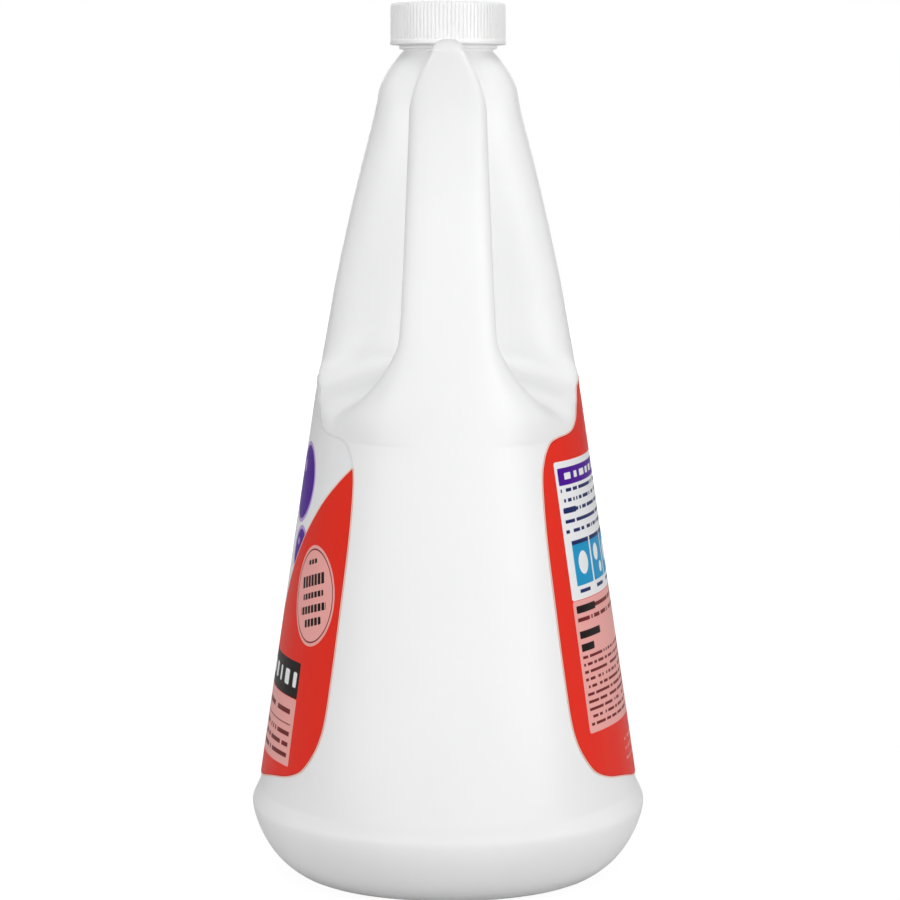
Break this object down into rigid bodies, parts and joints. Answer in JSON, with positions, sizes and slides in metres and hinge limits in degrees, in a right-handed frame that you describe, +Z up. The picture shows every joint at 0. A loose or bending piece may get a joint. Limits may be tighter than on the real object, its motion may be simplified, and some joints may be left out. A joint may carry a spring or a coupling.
{
  "type": "cleaner refill bottle",
  "caption": "Tall white blown plastic refill bottle with a hollow side handle and finger opening, a ribbed screw cap with sealing disc, and two wrap labels.",
  "frame": {"origin": "middle of the base, on the surface that the bottle stands on", "axes": "+Z up, +X towards the handle, -Y towards the front label, +Y towards the back label"},
  "size_m": [0.148, 0.137, 0.3],
  "materials": {
    "bottle_plastic": "opaque white blown polyethylene, satin",
    "cap_plastic": "opaque white moulded polypropylene, satin",
    "liner_foam": "white foamed polyethylene disc, matt",
    "front_print": "printed film label, red with plain fields of colour",
    "back_print": "printed film label, red with plain fields of colour"
  },
  "bodies": {
    "bottle": {"bottle": "bottle_plastic", "front_label": "front_print", "back_label": "back_print"},
    "seal": {"cap_liner": "liner_foam"},
    "cap": {"screw_cap": "cap_plastic"}
  },
  "joints": [
    {"name": "cap_lift", "type": "slide", "parent": "bottle", "child": "seal", "axis": [0, 0, 1], "range_m": [0, 0.0149]},
    {"name": "cap_turn", "type": "hinge", "parent": "seal", "child": "cap", "pos_m": [-0.008, 0, 0.2856], "axis": [0, 0, 1], "range_deg": [0, 1260]}
  ],
  "couplings": [
    {"joint": "cap_lift", "follows": "cap_turn", "m_per_rad": 0.00067375}
  ]
}
